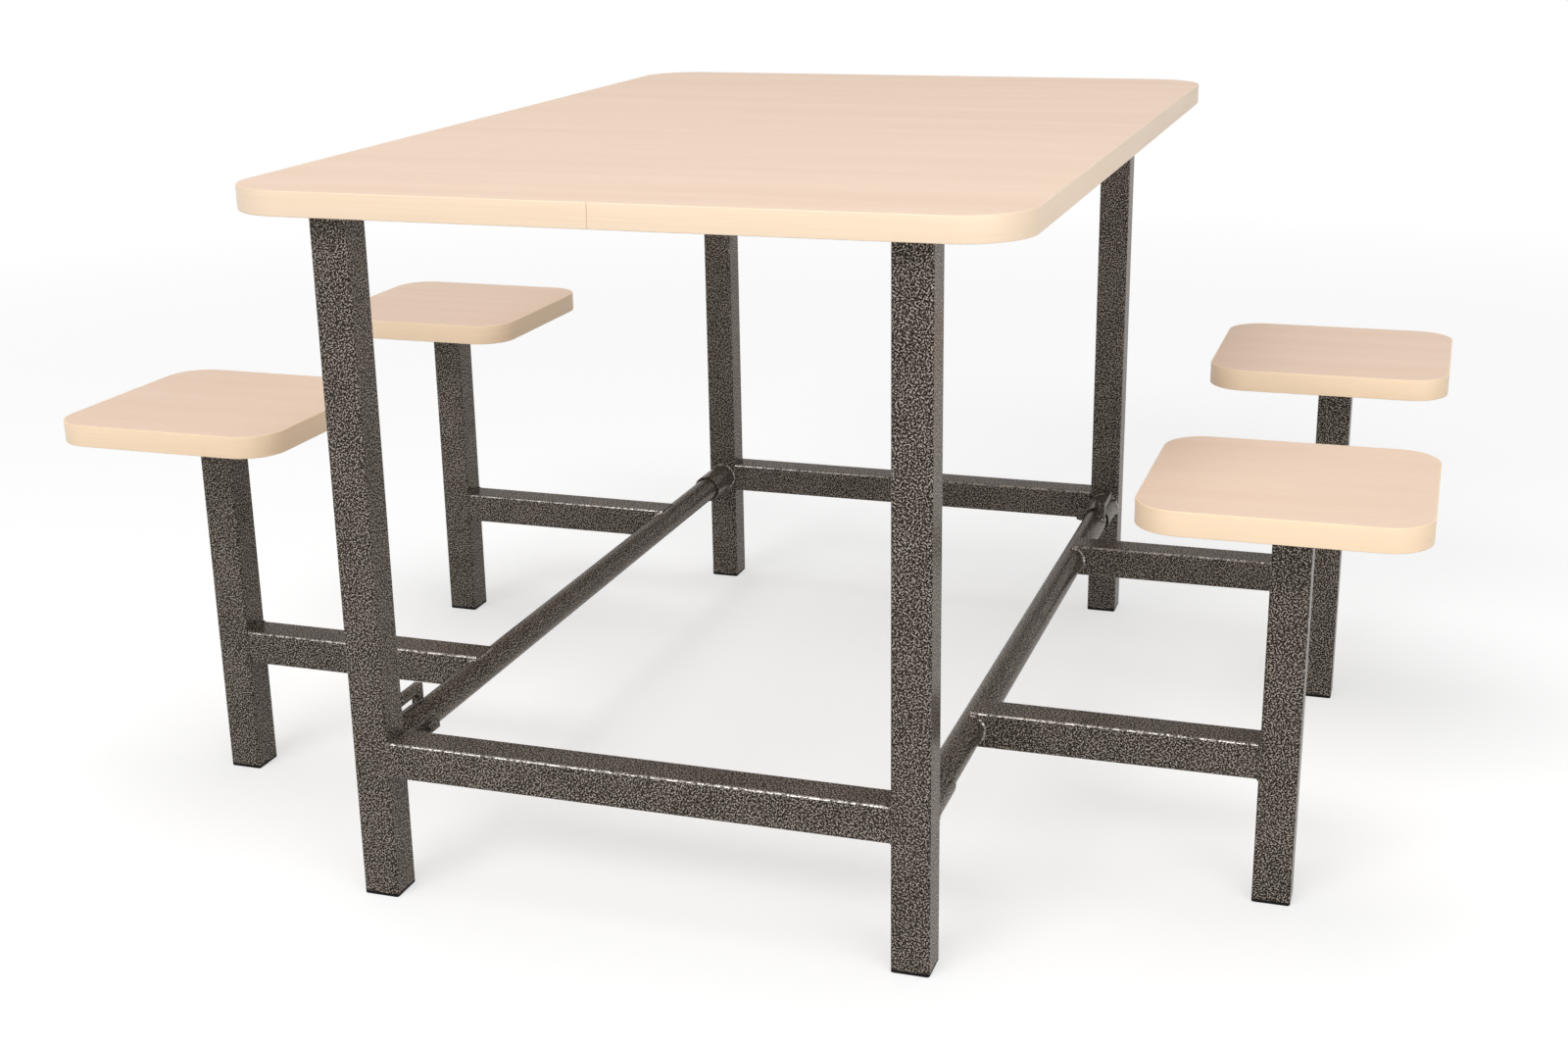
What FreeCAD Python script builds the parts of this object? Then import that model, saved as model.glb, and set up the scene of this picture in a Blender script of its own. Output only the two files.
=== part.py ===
import FreeCAD, Part
import math
import os
import Sketcher

# A four-place dining table. A laminate top stands on two H-shaped end frames of square tube. A round pivot
# bar turns in sleeves between the end frames on each side, and carries two arms, two posts and two seats,
# so each pair of seats tips up and inwards under the top.
# Millimetres, +Z up, +Y to the rear, +X to the right. The origin is on the floor, midway between the legs.

Vector = FreeCAD.Vector

SIZES = {
    # Table top
    "top_width": 800,
    "top_length": 1200,
    "top_thickness": 25,
    "top_corner_radius": 70,
    "table_height": 760,
    # Edge band of the top and of the seats. A strip's two ends meet at a butt seam.
    "band_thickness": 2,
    "band_glue_gap": 0.1,
    "seam_gap": 0.4,
    "top_seam_place": -3,
    # Seats, which swing up between the legs
    "seat_side": 280,
    "seat_thickness": 25,
    "seat_corner_radius": 45,
    "seat_height": 460,
    "seat_leg_gap": 90,
    "seat_inset": 6,
    # Square tube of the whole frame
    "tube_side": 40,
    "tube_wall": 2,
    "tube_corner_radius": 3,
    "tube_least_inner_radius": 0.5,
    # End frames, set in from the edges of the top to the middles of the legs
    "leg_side_inset": 107,
    "leg_end_inset": 55,
    "rail_height": 160,
    # Pivot bars and the sleeves that they turn in
    "pivot_height": 160,
    "bar_diameter": 32,
    "bar_wall": 2.5,
    "bar_end_gap": 1,
    "pivot_clearance": 0.1,
    "sleeve_wall": 2.9,
    "sleeve_length": 70,
    # Seat arms and posts
    "post_reach": 325,
    "weld_gap": 0.1,
    # Stop finger on each pivot bar, and the stop block that it meets when the seats are up
    "fold_angle": 80,
    "finger_side": 10,
    "finger_length": 58,
    "finger_offset": 11,
    "finger_lift": 5,
    "finger_gap": 13,
    "stop_gap": 0.5,
    "stop_thickness": 13,
    "stop_height": 9,
    "stop_length": 20,
    "stop_inset": 6,
    # Steel plates on the legs and posts, and the screws that hold the boards to them
    "plate_thickness": 4,
    "plate_corner_radius": 6,
    "leg_plate_margin": 25,
    "seat_plate_margin": 30,
    "screw_diameter": 4.5,
    "screw_length": 18,
    "screw_head_diameter": 9,
    "screw_head_height": 3,
    "screw_hole_clearance": 0.5,
    "pilot_clearance": 0.1,
    "pilot_end_gap": 1,
    # Plastic foot caps
    "cap_flange": 4,
    "cap_stem": 16,
    "cap_clearance": 0.15,
}

ENDS = {"front": -1, "rear": 1}
SIDES = {"left": -1, "right": 1}
CORNERS = [(1, 1), (-1, 1), (-1, -1), (1, -1)]

# Which point of a sketch line, arc or circle a constraint holds
START = 1
END = 2
CENTRE = 3
# The sketch's own origin, as a piece and a point on it
ORIGIN = (-1, 1)

# Formulas that several pieces share
TOP_UNDERSIDE = "(Sizes.table_height - Sizes.top_thickness)"
LEG_TOP = f"({TOP_UNDERSIDE} - Sizes.plate_thickness)"
SEAT_UNDERSIDE = "(Sizes.seat_height - Sizes.seat_thickness)"
POST_TOP = f"({SEAT_UNDERSIDE} - Sizes.plate_thickness)"
HALF_TUBE = "(Sizes.tube_side / 2)"
TUBE_BORE = "(Sizes.tube_side - 2 * Sizes.tube_wall)"
TUBE_BORE_RADIUS = "max(Sizes.tube_corner_radius - Sizes.tube_wall; Sizes.tube_least_inner_radius)"
LEG_X = "(Sizes.top_width / 2 - Sizes.leg_side_inset)"
LEG_Y = "(Sizes.top_length / 2 - Sizes.leg_end_inset)"
LEG_INNER_FACE_Y = f"({LEG_Y} - {HALF_TUBE})"
SEAT_Y = f"({LEG_INNER_FACE_Y} - Sizes.seat_leg_gap - Sizes.seat_side / 2)"
BAND = "(Sizes.band_thickness + Sizes.band_glue_gap)"
SLEEVE_BORE = "(Sizes.bar_diameter + 2 * Sizes.pivot_clearance)"
SLEEVE_DIAMETER = f"({SLEEVE_BORE} + 2 * Sizes.sleeve_wall)"
FINGER_BOTTOM = f"({SLEEVE_DIAMETER} / 2 + Sizes.finger_lift)"
FINGER_INNER_FACE = "(Sizes.finger_offset - Sizes.finger_side / 2)"
LEG_SCREW_OFFSET = f"({HALF_TUBE} + Sizes.leg_plate_margin / 2)"
SEAT_SCREW_OFFSET = f"({HALF_TUBE} + Sizes.seat_plate_margin / 2)"
PILOT_DIAMETER = "(Sizes.screw_diameter + 2 * Sizes.pilot_clearance)"
PILOT_DEPTH = "(Sizes.screw_length - Sizes.plate_thickness + Sizes.pilot_end_gap)"


# The document and its sheet of sizes

def make_sheet(document):
    """Writes the driving dimensions into a sheet, one named cell each."""
    cells = document.addObject("Spreadsheet::Sheet", "Sizes")
    for row, (name, size) in enumerate(SIZES.items(), start=1):
        cells.set(f"A{row}", name)
        cells.set(f"B{row}", str(size))
        cells.setAlias(f"B{row}", name)
    document.recompute()
    return cells


doc = FreeCAD.newDocument("DiningTable")
sheet = make_sheet(doc)
pieces = []


def value(formula):
    """Gives the number that a formula of the sheet's cells works out to."""
    return float(sheet.evalExpression(formula))


# Bodies, sketches and features

def new_body(label):
    """Starts a piece: a body whose label names it."""
    body = doc.addObject("PartDesign::Body", label)
    body.Label = label
    pieces.append(body)
    return body


def place(body, x, y, z, turned=False):
    """Puts a piece at three formulas, turned half a turn about the upright where asked."""
    if turned:
        body.Placement.Rotation = FreeCAD.Rotation(Vector(0, 0, 1), 180)
    for axis, formula in zip("xyz", (x, y, z)):
        body.setExpression(f"Placement.Base.{axis}", formula)


def new_sketch(body, role, raised="0"):
    """Starts a sketch on one of the body's own planes, raised off it by a formula."""
    sketch = body.newObject("Sketcher::SketchObject", "Sketch")
    plane = next(feature for feature in body.Origin.OriginFeatures if feature.Role == role)
    sketch.AttachmentSupport = [(plane, "")]
    sketch.MapMode = "FlatFace"
    sketch.setExpression("AttachmentOffset.Base.z", raised)
    return sketch


def dimension(sketch, kind, formula, *places):
    """Adds a dimension to a sketch and ties it to a formula."""
    index = sketch.addConstraint(Sketcher.Constraint(kind, *places, value(formula)))
    sketch.setExpression(f"Constraints[{index}]", formula)


def pin_point(sketch, piece, point, x, y):
    """Ties one point of a sketch to two formulas, measured from the sketch's origin."""
    dimension(sketch, "DistanceX", x, *ORIGIN, piece, point)
    dimension(sketch, "DistanceY", y, *ORIGIN, piece, point)


def draw_circle(sketch, diameter, x="0", y="0"):
    """Draws a circle of a given diameter about a point."""
    middle = Vector(value(x), value(y), 0)
    piece = sketch.addGeometry(Part.Circle(middle, Vector(0, 0, 1), value(diameter) / 2))
    pin_point(sketch, piece, CENTRE, x, y)
    dimension(sketch, "Diameter", diameter, piece)


def draw_polygon(sketch, points):
    """Draws a closed outline of straight lines through points, each a pair of formulas."""
    spots = [Vector(value(x), value(y), 0) for x, y in points]
    lines = [sketch.addGeometry(Part.LineSegment(*ends)) for ends in zip(spots, spots[1:] + spots[:1])]
    for line, following in zip(lines, lines[1:] + lines[:1]):
        sketch.addConstraint(Sketcher.Constraint("Coincident", line, END, following, START))
    for line, (x, y) in zip(lines, points):
        pin_point(sketch, line, START, x, y)


def draw_rounded_rectangle(sketch, width, depth, radius):
    """Draws a rectangle with round corners about the sketch's origin, sized by three formulas."""
    corner = value(radius)
    reach_x = value(width) / 2 - corner
    reach_y = value(depth) / 2 - corner
    arcs = []
    for quarter, (sign_x, sign_y) in enumerate(CORNERS):
        whole = Part.Circle(Vector(sign_x * reach_x, sign_y * reach_y, 0), Vector(0, 0, 1), corner)
        arc = Part.ArcOfCircle(whole, quarter * math.pi / 2, (quarter + 1) * math.pi / 2)
        arcs.append(sketch.addGeometry(arc))
    lines = []
    for arc, following in zip(arcs, arcs[1:] + arcs[:1]):
        first = sketch.Geometry[arc].EndPoint
        last = sketch.Geometry[following].StartPoint
        line = sketch.addGeometry(Part.LineSegment(first, last))
        sketch.addConstraint(Sketcher.Constraint("Tangent", arc, END, line, START))
        sketch.addConstraint(Sketcher.Constraint("Tangent", line, END, following, START))
        lines.append(line)
    top, left, bottom, right = lines
    for line in (top, bottom):
        sketch.addConstraint(Sketcher.Constraint("Horizontal", line))
    for line in (left, right):
        sketch.addConstraint(Sketcher.Constraint("Vertical", line))
    for arc in arcs[1:]:
        sketch.addConstraint(Sketcher.Constraint("Equal", arcs[0], arc))
    sketch.addConstraint(Sketcher.Constraint("Symmetric", arcs[0], CENTRE, arcs[2], CENTRE, *ORIGIN))
    dimension(sketch, "Radius", radius, arcs[0])
    dimension(sketch, "DistanceX", width, left, START, right, START)
    dimension(sketch, "DistanceY", depth, bottom, START, top, START)


def draw_tube_section(sketch):
    """Draws the square tube's section: its outside and its bore."""
    draw_rounded_rectangle(sketch, "Sizes.tube_side", "Sizes.tube_side", "Sizes.tube_corner_radius")
    draw_rounded_rectangle(sketch, TUBE_BORE, TUBE_BORE, TUBE_BORE_RADIUS)


def pad(body, sketch, length, both_ways=False, backwards=False):
    """Raises a sketch into a solid."""
    feature = body.newObject("PartDesign::Pad", "Pad")
    feature.Profile = sketch
    feature.SideType = "Symmetric" if both_ways else "One side"
    feature.Reversed = backwards
    feature.setExpression("Length", length)
    doc.recompute()


def pocket(body, sketch, depth, both_ways=False, backwards=False):
    """Cuts a sketch out of a solid, and makes sure that it cut something."""
    before = body.Shape.Volume
    feature = body.newObject("PartDesign::Pocket", "Pocket")
    feature.Profile = sketch
    feature.SideType = "Symmetric" if both_ways else "One side"
    feature.Reversed = backwards
    feature.setExpression("Length", depth)
    doc.recompute()
    if body.Shape.Volume >= before:
        raise RuntimeError(f"{body.Label}: a pocket cut nothing")


def screw_spots(middle_x, middle_y, offset):
    """Gives the four screw places round a plate's middle."""
    return [(f"{middle_x} + {sign_x} * {offset}", f"{middle_y} + {sign_y} * {offset}")
            for sign_x, sign_y in CORNERS]


# Pieces that the table and the seats share in kind

def upright_tube(label, x, y, top):
    """A leg or a post: square tube from its foot cap up to its plate."""
    body = new_body(label)
    section = new_sketch(body, "XY_Plane")
    draw_tube_section(section)
    pad(body, section, f"{top} - Sizes.cap_flange")
    place(body, x, y, "Sizes.cap_flange")


def foot_cap(label, x, y):
    """A plastic cap: a flange as large as the tube, and a stem that plugs its bore."""
    body = new_body(label)
    flange = new_sketch(body, "XY_Plane")
    draw_rounded_rectangle(flange, "Sizes.tube_side", "Sizes.tube_side", "Sizes.tube_corner_radius")
    pad(body, flange, "Sizes.cap_flange")
    stem = new_sketch(body, "XY_Plane", "Sizes.cap_flange")
    stem_side = f"{TUBE_BORE} - 2 * Sizes.cap_clearance"
    draw_rounded_rectangle(stem, stem_side, stem_side, TUBE_BORE_RADIUS)
    pad(body, stem, "Sizes.cap_stem")
    place(body, x, y, "0")


def steel_plate(label, x, y, z, margin, screw_offset):
    """A square plate on top of a leg or post, with four screw holes."""
    body = new_body(label)
    outline = new_sketch(body, "XY_Plane")
    side = f"Sizes.tube_side + 2 * {margin}"
    draw_rounded_rectangle(outline, side, side, "Sizes.plate_corner_radius")
    pad(body, outline, "Sizes.plate_thickness")
    holes = new_sketch(body, "XY_Plane")
    for spot in screw_spots("0", "0", screw_offset):
        draw_circle(holes, "Sizes.screw_diameter + Sizes.screw_hole_clearance", *spot)
    pocket(body, holes, "Sizes.plate_thickness", backwards=True)
    place(body, x, y, z)


def laminate_board(label, width, depth, radius, thickness, spots):
    """A laminated board with round corners and blind pilot holes in its underside."""
    body = new_body(label)
    outline = new_sketch(body, "XY_Plane")
    draw_rounded_rectangle(outline, f"{width} - 2 * {BAND}", f"{depth} - 2 * {BAND}", f"{radius} - {BAND}")
    pad(body, outline, thickness)
    holes = new_sketch(body, "XY_Plane")
    for spot in spots:
        draw_circle(holes, PILOT_DIAMETER, *spot)
    pocket(body, holes, PILOT_DEPTH, backwards=True)
    return body


def edge_band(label, width, depth, radius, thickness, seam_place, seam_end):
    """A strip round a board's edge, with a fine butt seam at one end of the board."""
    body = new_body(label)
    outline = new_sketch(body, "XY_Plane")
    draw_rounded_rectangle(outline, width, depth, radius)
    inner_radius = f"{radius} - Sizes.band_thickness"
    inner_sides = [f"{side} - 2 * Sizes.band_thickness" for side in (width, depth)]
    draw_rounded_rectangle(outline, *inner_sides, inner_radius)
    pad(body, outline, thickness)
    seam = new_sketch(body, "XY_Plane")
    edges_x = [f"{seam_place} + {sign} * Sizes.seam_gap / 2" for sign in (-1, 1)]
    edges_y = [f"{seam_end} * ({depth} / 2 + {sign} * 2 * Sizes.band_thickness)" for sign in (-1, 1)]
    draw_polygon(seam, [(edges_x[0], edges_y[0]), (edges_x[1], edges_y[0]),
                        (edges_x[1], edges_y[1]), (edges_x[0], edges_y[1])])
    pocket(body, seam, thickness, backwards=True)
    return body


def screw_set(label, spots):
    """A group of equal screws, heads down, with their heads' upper faces at the body's own height."""
    body = new_body(label)
    body.AllowCompound = True
    shanks = new_sketch(body, "XY_Plane")
    heads = new_sketch(body, "XY_Plane")
    for spot in spots:
        draw_circle(shanks, "Sizes.screw_diameter", *spot)
        draw_circle(heads, "Sizes.screw_head_diameter", *spot)
    pad(body, shanks, "Sizes.screw_length")
    pad(body, heads, "Sizes.screw_head_height", backwards=True)
    return body


# Pieces of the table

def leg_spot(side, end):
    """Gives a leg's middle, as two formulas."""
    return f"{SIDES[side]} * {LEG_X}", f"{ENDS[end]} * {LEG_Y}"


def leg_plate_spot(side, end):
    """Gives the middle of a leg's plate, which is flush with the leg's outer face and reaches inwards."""
    x, y = leg_spot(side, end)
    return x, f"{y} - {ENDS[end]} * Sizes.leg_plate_margin"


def table_screw_spots():
    """Gives the places of all the screws under the table top."""
    middles = [leg_plate_spot(side, end) for side in SIDES for end in ENDS]
    return [spot for middle in middles for spot in screw_spots(*middle, LEG_SCREW_OFFSET)]


def table_top():
    """The top's board, its edge band with the seam at the front, and its screws."""
    size = ("Sizes.top_width", "Sizes.top_length", "Sizes.top_corner_radius", "Sizes.top_thickness")
    board = laminate_board("table_top_board", *size, table_screw_spots())
    place(board, "0", "0", TOP_UNDERSIDE)
    band = edge_band("table_top_edge_band", *size, "Sizes.top_seam_place", ENDS["front"])
    place(band, "0", "0", TOP_UNDERSIDE)
    screws = screw_set("table_top_screws", table_screw_spots())
    place(screws, "0", "0", LEG_TOP)


def cross_rail(end):
    """The low square tube between the two legs of an end frame."""
    body = new_body(f"{end}_cross_rail")
    section = new_sketch(body, "YZ_Plane")
    draw_tube_section(section)
    pad(body, section, f"2 * {LEG_X} - Sizes.tube_side", both_ways=True)
    place(body, "0", f"{ENDS[end]} * {LEG_Y}", "Sizes.rail_height")


def pivot_sleeve(side, end):
    """The round sleeve on a leg's inner face, which a pivot bar turns in."""
    body = new_body(f"{end}_{side}_pivot_sleeve")
    section = new_sketch(body, "XZ_Plane")
    draw_circle(section, SLEEVE_DIAMETER)
    draw_circle(section, SLEEVE_BORE)
    pad(body, section, "Sizes.sleeve_length")
    x, _ = leg_spot(side, end)
    place(body, x, f"{ENDS[end]} * {LEG_INNER_FACE_Y}", "Sizes.pivot_height", turned=end == "front")


def stop_block(side, end):
    """The block on a sleeve that the stop finger meets at the top of the seats' swing."""
    body = new_body(f"{end}_{side}_stop_block")
    section = new_sketch(body, "XZ_Plane", "Sizes.sleeve_length - Sizes.stop_inset - Sizes.stop_length")
    section.AttachmentOffset.Rotation = FreeCAD.Rotation(Vector(0, 0, 1), value("Sizes.fold_angle"))
    section.setExpression("AttachmentOffset.Rotation.Angle", "Sizes.fold_angle")
    face = f"{FINGER_INNER_FACE} - Sizes.stop_gap"
    back = f"{face} - Sizes.stop_thickness"
    foot = f"{SLEEVE_DIAMETER} / 4"
    crest = f"{SLEEVE_DIAMETER} / 2 + Sizes.stop_height"
    draw_polygon(section, [(back, foot), (face, foot), (face, crest), (back, crest)])
    pad(body, section, "Sizes.stop_length")
    saddle = new_sketch(body, "XZ_Plane")
    draw_circle(saddle, f"{SLEEVE_DIAMETER} + 2 * Sizes.weld_gap")
    pocket(body, saddle, "Sizes.sleeve_length", backwards=True)
    x, _ = leg_spot(side, end)
    place(body, x, f"{ENDS[end]} * {LEG_INNER_FACE_Y}", "Sizes.pivot_height", turned=end == "front")


def table():
    """Everything that stays still when the seats swing."""
    table_top()
    for end in ENDS:
        cross_rail(end)
        for side in SIDES:
            spot = leg_spot(side, end)
            upright_tube(f"{end}_{side}_leg", *spot, LEG_TOP)
            plate_spot = (*leg_plate_spot(side, end), LEG_TOP)
            steel_plate(f"{end}_{side}_leg_plate", *plate_spot, "Sizes.leg_plate_margin", LEG_SCREW_OFFSET)
            foot_cap(f"{end}_{side}_leg_cap", *spot)
            pivot_sleeve(side, end)
    stop_block("left", "front")
    stop_block("right", "rear")


# Pieces of a pair of seats

def pivot_bar(side):
    """The round tube that turns in two sleeves and carries a pair of seats."""
    body = new_body(f"{side}_pivot_bar")
    section = new_sketch(body, "XZ_Plane")
    draw_circle(section, "Sizes.bar_diameter")
    draw_circle(section, "Sizes.bar_diameter - 2 * Sizes.bar_wall")
    pad(body, section, f"2 * ({LEG_INNER_FACE_Y} - Sizes.bar_end_gap)", both_ways=True)
    place(body, f"{SIDES[side]} * {LEG_X}", "0", "Sizes.pivot_height")


def seat_arm(side, end):
    """The square tube from the pivot bar out to a post, notched over the bar."""
    body = new_body(f"{end}_{side}_seat_arm")
    section = new_sketch(body, "YZ_Plane")
    draw_tube_section(section)
    pad(body, section, f"Sizes.post_reach - {HALF_TUBE}")
    saddle = new_sketch(body, "XZ_Plane")
    draw_circle(saddle, "Sizes.bar_diameter + 2 * Sizes.weld_gap")
    pocket(body, saddle, "2 * Sizes.tube_side", both_ways=True)
    x = f"{SIDES[side]} * {LEG_X}"
    place(body, x, f"{ENDS[end]} * {SEAT_Y}", "Sizes.pivot_height", turned=side == "left")


def stop_finger(side, end):
    """The bent bar on a pivot bar: a foot beside the sleeve, and a finger back over it."""
    body = new_body(f"{side}_stop_finger")
    profile = new_sketch(body, "YZ_Plane", "Sizes.finger_offset")
    foot_near = "-(Sizes.sleeve_length + Sizes.finger_gap)"
    foot_far = f"{foot_near} - Sizes.finger_side"
    tip = f"{foot_far} + Sizes.finger_length"
    foot_bottom = "Sizes.bar_diameter / 4"
    top = f"{FINGER_BOTTOM} + Sizes.finger_side"
    draw_polygon(profile, [(foot_far, foot_bottom), (foot_near, foot_bottom), (foot_near, FINGER_BOTTOM),
                           (tip, FINGER_BOTTOM), (tip, top), (foot_far, top)])
    pad(body, profile, "Sizes.finger_side", both_ways=True)
    saddle = new_sketch(body, "XZ_Plane")
    draw_circle(saddle, "Sizes.bar_diameter + 2 * Sizes.weld_gap")
    reach = "Sizes.sleeve_length + Sizes.finger_gap + 2 * Sizes.finger_side"
    pocket(body, saddle, reach, backwards=True)
    x = f"{SIDES[side]} * {LEG_X}"
    place(body, x, f"{ENDS[end]} * {LEG_INNER_FACE_Y}", "Sizes.pivot_height", turned=end == "front")


def post_spot(side, end):
    """Gives a seat post's middle, as two formulas."""
    return f"{SIDES[side]} * ({LEG_X} + Sizes.post_reach)", f"{ENDS[end]} * {SEAT_Y}"


def seat(side, end):
    """A seat's board and its edge band, with the seam at the rear."""
    size = ("Sizes.seat_side", "Sizes.seat_side", "Sizes.seat_corner_radius", "Sizes.seat_thickness")
    x, y = post_spot(side, end)
    seat_x = f"{x} - {SIDES[side]} * Sizes.seat_inset"
    spots = screw_spots("Sizes.seat_inset", "0", SEAT_SCREW_OFFSET)
    board = laminate_board(f"{end}_{side}_seat_board", *size, spots)
    place(board, seat_x, y, SEAT_UNDERSIDE, turned=side == "left")
    band = edge_band(f"{end}_{side}_seat_edge_band", *size, "0", ENDS["rear"])
    place(band, seat_x, y, SEAT_UNDERSIDE)


def seat_pair(side, finger_end):
    """Everything that swings on one pivot bar."""
    pivot_bar(side)
    stop_finger(side, finger_end)
    spots = []
    for end in ENDS:
        spot = post_spot(side, end)
        seat_arm(side, end)
        upright_tube(f"{end}_{side}_seat_post", *spot, POST_TOP)
        foot_cap(f"{end}_{side}_post_cap", *spot)
        steel_plate(f"{end}_{side}_seat_plate", *spot, POST_TOP, "Sizes.seat_plate_margin", SEAT_SCREW_OFFSET)
        seat(side, end)
        spots += screw_spots(*spot, SEAT_SCREW_OFFSET)
    screws = screw_set(f"{side}_seat_screws", spots)
    place(screws, "0", "0", POST_TOP)


# Checks, and the files

def check_pieces():
    """Stops if an object failed, or a piece's shape is empty or broken."""
    for thing in doc.Objects:
        if "Invalid" in thing.State or "Error" in thing.State:
            raise RuntimeError(f"{thing.Label} failed: {thing.State}")
    for body in pieces:
        if body.Shape.isNull() or not body.Shape.isValid():
            raise RuntimeError(f"{body.Label} has no valid shape")


table()
seat_pair("left", "front")
seat_pair("right", "rear")
doc.recompute()
check_pieces()
os.makedirs("parts", exist_ok=True)
for piece in pieces:
    piece.Shape.exportStep(f"parts/{piece.Label}.step")
    print(f"{piece.Label}: {len(piece.Shape.Solids)} solids, {piece.Shape.Volume:.0f} mm3")
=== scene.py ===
import math

import bmesh
import bpy
from mathutils import Matrix, Vector, noise

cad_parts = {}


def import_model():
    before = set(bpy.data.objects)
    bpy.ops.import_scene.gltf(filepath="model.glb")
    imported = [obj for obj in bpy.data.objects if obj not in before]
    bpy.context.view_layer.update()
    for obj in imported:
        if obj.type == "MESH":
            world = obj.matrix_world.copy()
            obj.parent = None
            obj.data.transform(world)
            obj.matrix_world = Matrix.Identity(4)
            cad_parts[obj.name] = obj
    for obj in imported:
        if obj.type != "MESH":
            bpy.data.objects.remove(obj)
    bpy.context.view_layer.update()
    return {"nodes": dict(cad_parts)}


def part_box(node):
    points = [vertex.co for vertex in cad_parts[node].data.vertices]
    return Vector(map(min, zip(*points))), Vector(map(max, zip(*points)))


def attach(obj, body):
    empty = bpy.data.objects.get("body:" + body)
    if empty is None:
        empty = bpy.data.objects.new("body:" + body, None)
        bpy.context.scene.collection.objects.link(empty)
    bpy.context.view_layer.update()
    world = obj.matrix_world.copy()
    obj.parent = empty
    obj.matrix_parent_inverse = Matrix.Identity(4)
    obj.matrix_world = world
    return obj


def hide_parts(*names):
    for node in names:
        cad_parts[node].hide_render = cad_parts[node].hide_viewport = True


# The looks of a four-place dining table whose pairs of seats tip up.
# Metres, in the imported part's own frame: +Z up, -Y towards the camera, +X to the right.

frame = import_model()

MM = 0.001
UP = Vector((0, 0, 1))
ENDS = {"front": -1, "rear": 1}
SIDES = {"left": -1, "right": 1}
STOP_ENDS = {"left": "front", "right": "rear"}

# Boards and their edge bands
TOP_CORNER_RADIUS = 70 * MM
SEAT_CORNER_RADIUS = 45 * MM
CORNER_STEPS = 20
BOARD_ARRIS = 0.05 * MM
GLUE_GAP = 0.1 * MM
BAND_THICKNESS = 2 * MM
BAND_ROUNDING = 1.0 * MM
BAND_ROUNDING_STEPS = 4
SEAM_GAP = 0.4 * MM
TOP_SEAM_X = -3 * MM

# Square tube and pivot sleeves
TUBE_CORNER_RADIUS = 3 * MM
TUBE_CORNER_STEPS = 4
BAR_CLEARANCE = 0.1 * MM
SLEEVE_RIM_ROUNDING = 0.6 * MM
SLEEVE_BORE_CHAMFER = 1.5 * MM
SLEEVE_STEPS = 72

# Stop fingers and stop blocks
FINGER_SIDE = 10 * MM
FINGER_ROUNDING = 1.0 * MM
FINGER_ROUNDING_STEPS = 3
STOP_SLANT = math.radians(80)
STOP_ROUNDING = 1.6 * MM
STOP_ROUNDING_STEPS = 4
STOP_SINK = 1.0 * MM
CIRCULAR_PROFILE = 0.5

# Weld beads
WELD_RADIUS = 2.6 * MM
SLIM_WELD_RADIUS = 1.7 * MM
FAT_WELD_RADIUS = 3.4 * MM
FINGER_WELD_RADIUS = 2.08 * MM
WELD_SINK = 0.9 * MM
WELD_STEP = 0.8 * MM
WELD_RIPPLE = 2.8 * MM
WELD_RIPPLE_DEPTH = 0.2
WELD_WANDER = 0.22
WELD_WANDER_SCALE = 160
WELD_SECTION_STEPS = 10
SADDLE_STEPS = 12
SADDLE_LEAN = 0.5
FOOT_CORNER_SHARE = 1 / 8
FOOT_CORNER_STEPS = 2

# Foot caps
CAP_FLANGE = 4 * MM
CAP_ROUNDING = 1.2 * MM
CAP_ROUNDING_STEPS = 4
CAP_LIP = 0.3 * MM
CAP_STEM_INSET = 2.3 * MM
CAP_RIB_PITCH = 3 * MM
CAP_RIB_DEPTH = 0.4 * MM

# Screws: a domed head with a cross recess, and a pointed shank
HEAD_RADIUS = 4.5 * MM
HEAD_HEIGHT = 3 * MM
HEAD_RIM = 0.8 * MM
HEAD_STEPS = 40
HEAD_RINGS = 9
CROSS_WIDTH = 1.2 * MM
CROSS_REACH = 2.4 * MM
CROSS_DEPTH = 1.3 * MM
SHANK_RADIUS = 2.25 * MM
SHANK_LENGTH = 18 * MM
SHANK_POINT = 4 * MM
SHANK_TIP_RADIUS = SHANK_RADIUS / 8

# Angles from which an edge is shaded as a sharp one
SHARP_ANGLE = math.radians(40)
BOARD_SHARP_ANGLE = math.radians(30)
BAND_SHARP_ANGLE = math.radians(50)
SCREW_SHARP_ANGLE = math.radians(28)
NEVER_SHARP = math.pi

# Colours, as linear red, green and blue
POOL_BROWN = (0.007, 0.0042, 0.0026)
DARK_BRONZE = (0.033, 0.025, 0.018)
MIDDLE_BRONZE = (0.118, 0.098, 0.081)
PALE_BRONZE = (0.37, 0.328, 0.29)
BRONZE_SHEEN = (1.0, 0.86, 0.74)
# Painted highlight: pale metal laid on the level tubes' upper edges, where the lamps glint
PAINTED_HIGHLIGHT_METAL = (0.62, 0.59, 0.55)
DARK_WELD = (0.05, 0.04, 0.032)
BRIGHT_WELD = (0.52, 0.48, 0.43)
PALE_BEECH = (0.835, 0.640, 0.501)
WARM_BEECH = (0.800, 0.598, 0.459)
BEECH_FLECK = (0.680, 0.475, 0.340)
TOP_BAND_CREAM = (0.820, 0.655, 0.490)
TOP_BAND_HONEY = (0.765, 0.590, 0.420)
SEAT_BAND_CREAM = (0.866, 0.670, 0.476)
SEAT_BAND_HONEY = (0.818, 0.610, 0.408)
BLACK_PLASTIC = (0.004, 0.004, 0.004)
PLASTIC_DUST = (0.022, 0.021, 0.019)
BRIGHT_ZINC = (0.74, 0.73, 0.70)
YELLOW_ZINC = (0.60, 0.58, 0.50)

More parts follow.
